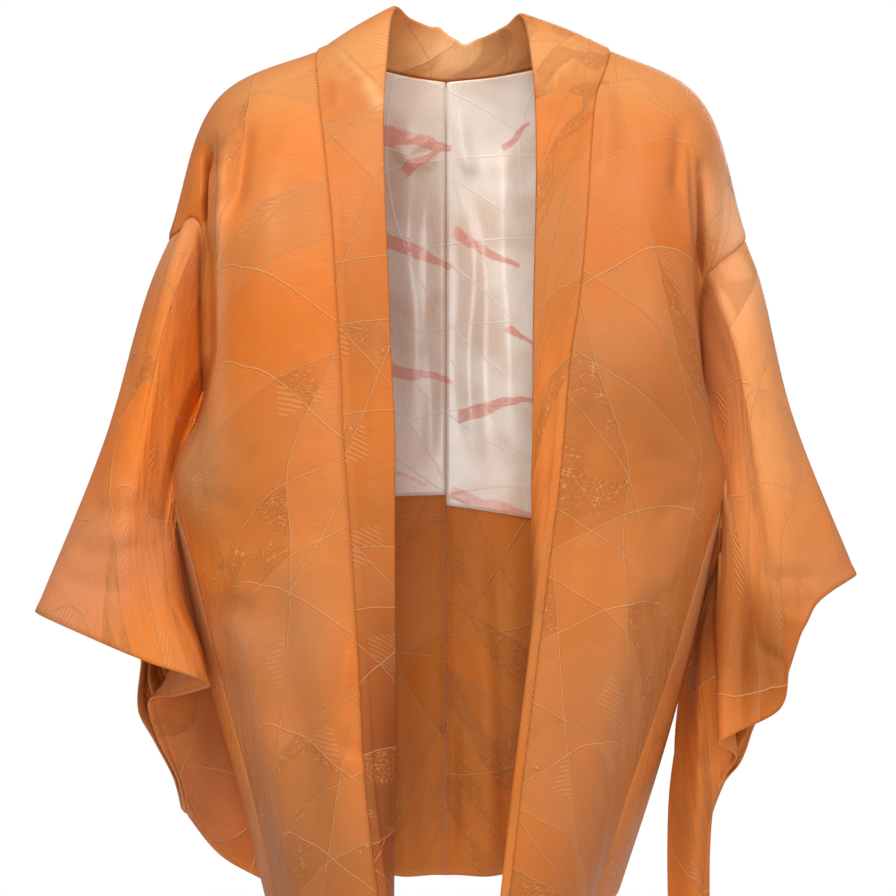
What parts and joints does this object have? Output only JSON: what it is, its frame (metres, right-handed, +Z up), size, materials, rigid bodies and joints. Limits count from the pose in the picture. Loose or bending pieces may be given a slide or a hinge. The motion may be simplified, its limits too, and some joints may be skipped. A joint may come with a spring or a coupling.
{
  "type": "kimono jacket",
  "caption": "Hip-length open-front kimono jacket of lined figured silk, hollow as worn, with a folded collar band and wide hanging sleeves.",
  "frame": {"origin": "inside the neck, level with the seam between the collar and the back, where the wearer's neck and shoulders hold the jacket", "axes": "+Z up along the wearer, -Y out of the open front, +X towards the wearer's left sleeve"},
  "size_m": [0.6838, 0.2383, 0.7757],
  "materials": {
    "silk": "orange figured satin silk with a soft sheen",
    "lining": "pale silver-beige satin with pink streaks"
  },
  "bodies": {
    "root": {"body_right": "silk", "body_left": "silk", "sleeve_right": "silk", "sleeve_left": "silk", "gusset_right": "silk", "gusset_left": "silk", "collar": "silk", "lining_right": "lining", "lining_left": "lining"}
  },
  "joints": []
}
